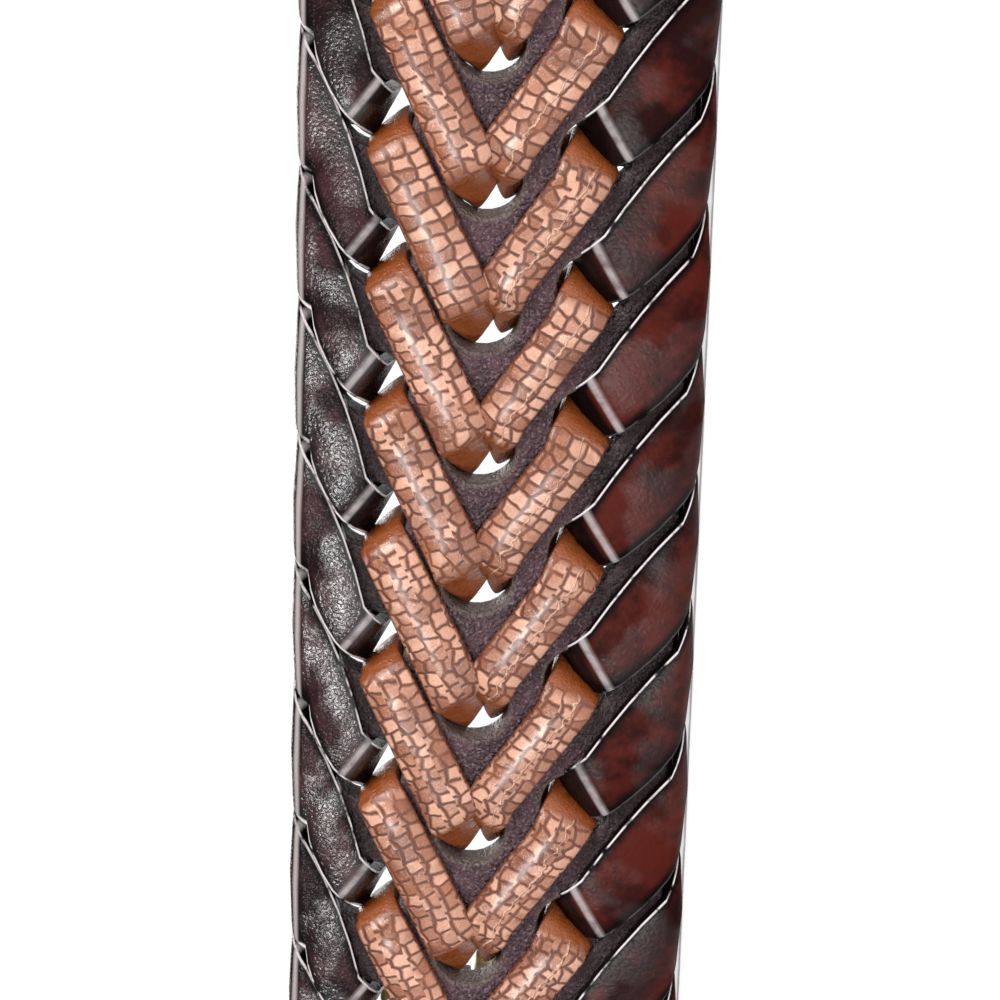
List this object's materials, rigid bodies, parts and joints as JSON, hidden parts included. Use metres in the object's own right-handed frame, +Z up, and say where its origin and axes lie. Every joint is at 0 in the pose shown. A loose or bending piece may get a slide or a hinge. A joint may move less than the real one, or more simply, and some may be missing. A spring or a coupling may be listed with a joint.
{
  "type": "braided leather belt",
  "caption": "Open laced leather belt standing on its edge in a U, with tan laces in a V between dark whipped edges, a pronged buckle and a keeper.",
  "frame": {"origin": "on the floor below the middle of the belt's box", "axes": "+X runs along the straight front from its buckle side to its tip side, -Y is the way that the front's outer face looks, +Z is up across the belt's width"},
  "size_m": [0.4296, 0.3358, 0.035],
  "materials": {
    "base_leather": "matte rough purple-brown leather",
    "dark_left_leather": "burnished near-black brown leather with a pebbled grain",
    "dark_right_leather": "burnished dark red-brown leather with near-black edges",
    "tan_leather": "tan leather embossed with lizard scales",
    "buckle_brass": "aged brass",
    "keeper_leather": "burnished dark leather"
  },
  "bodies": {
    "root": {"base_strap": "base_leather", "edge_lace_left": "dark_left_leather", "edge_lace_right": "dark_right_leather", "tan_lace_left": "tan_leather", "tan_lace_right": "tan_leather", "buckle": "buckle_brass", "keeper": "keeper_leather"}
  },
  "joints": []
}
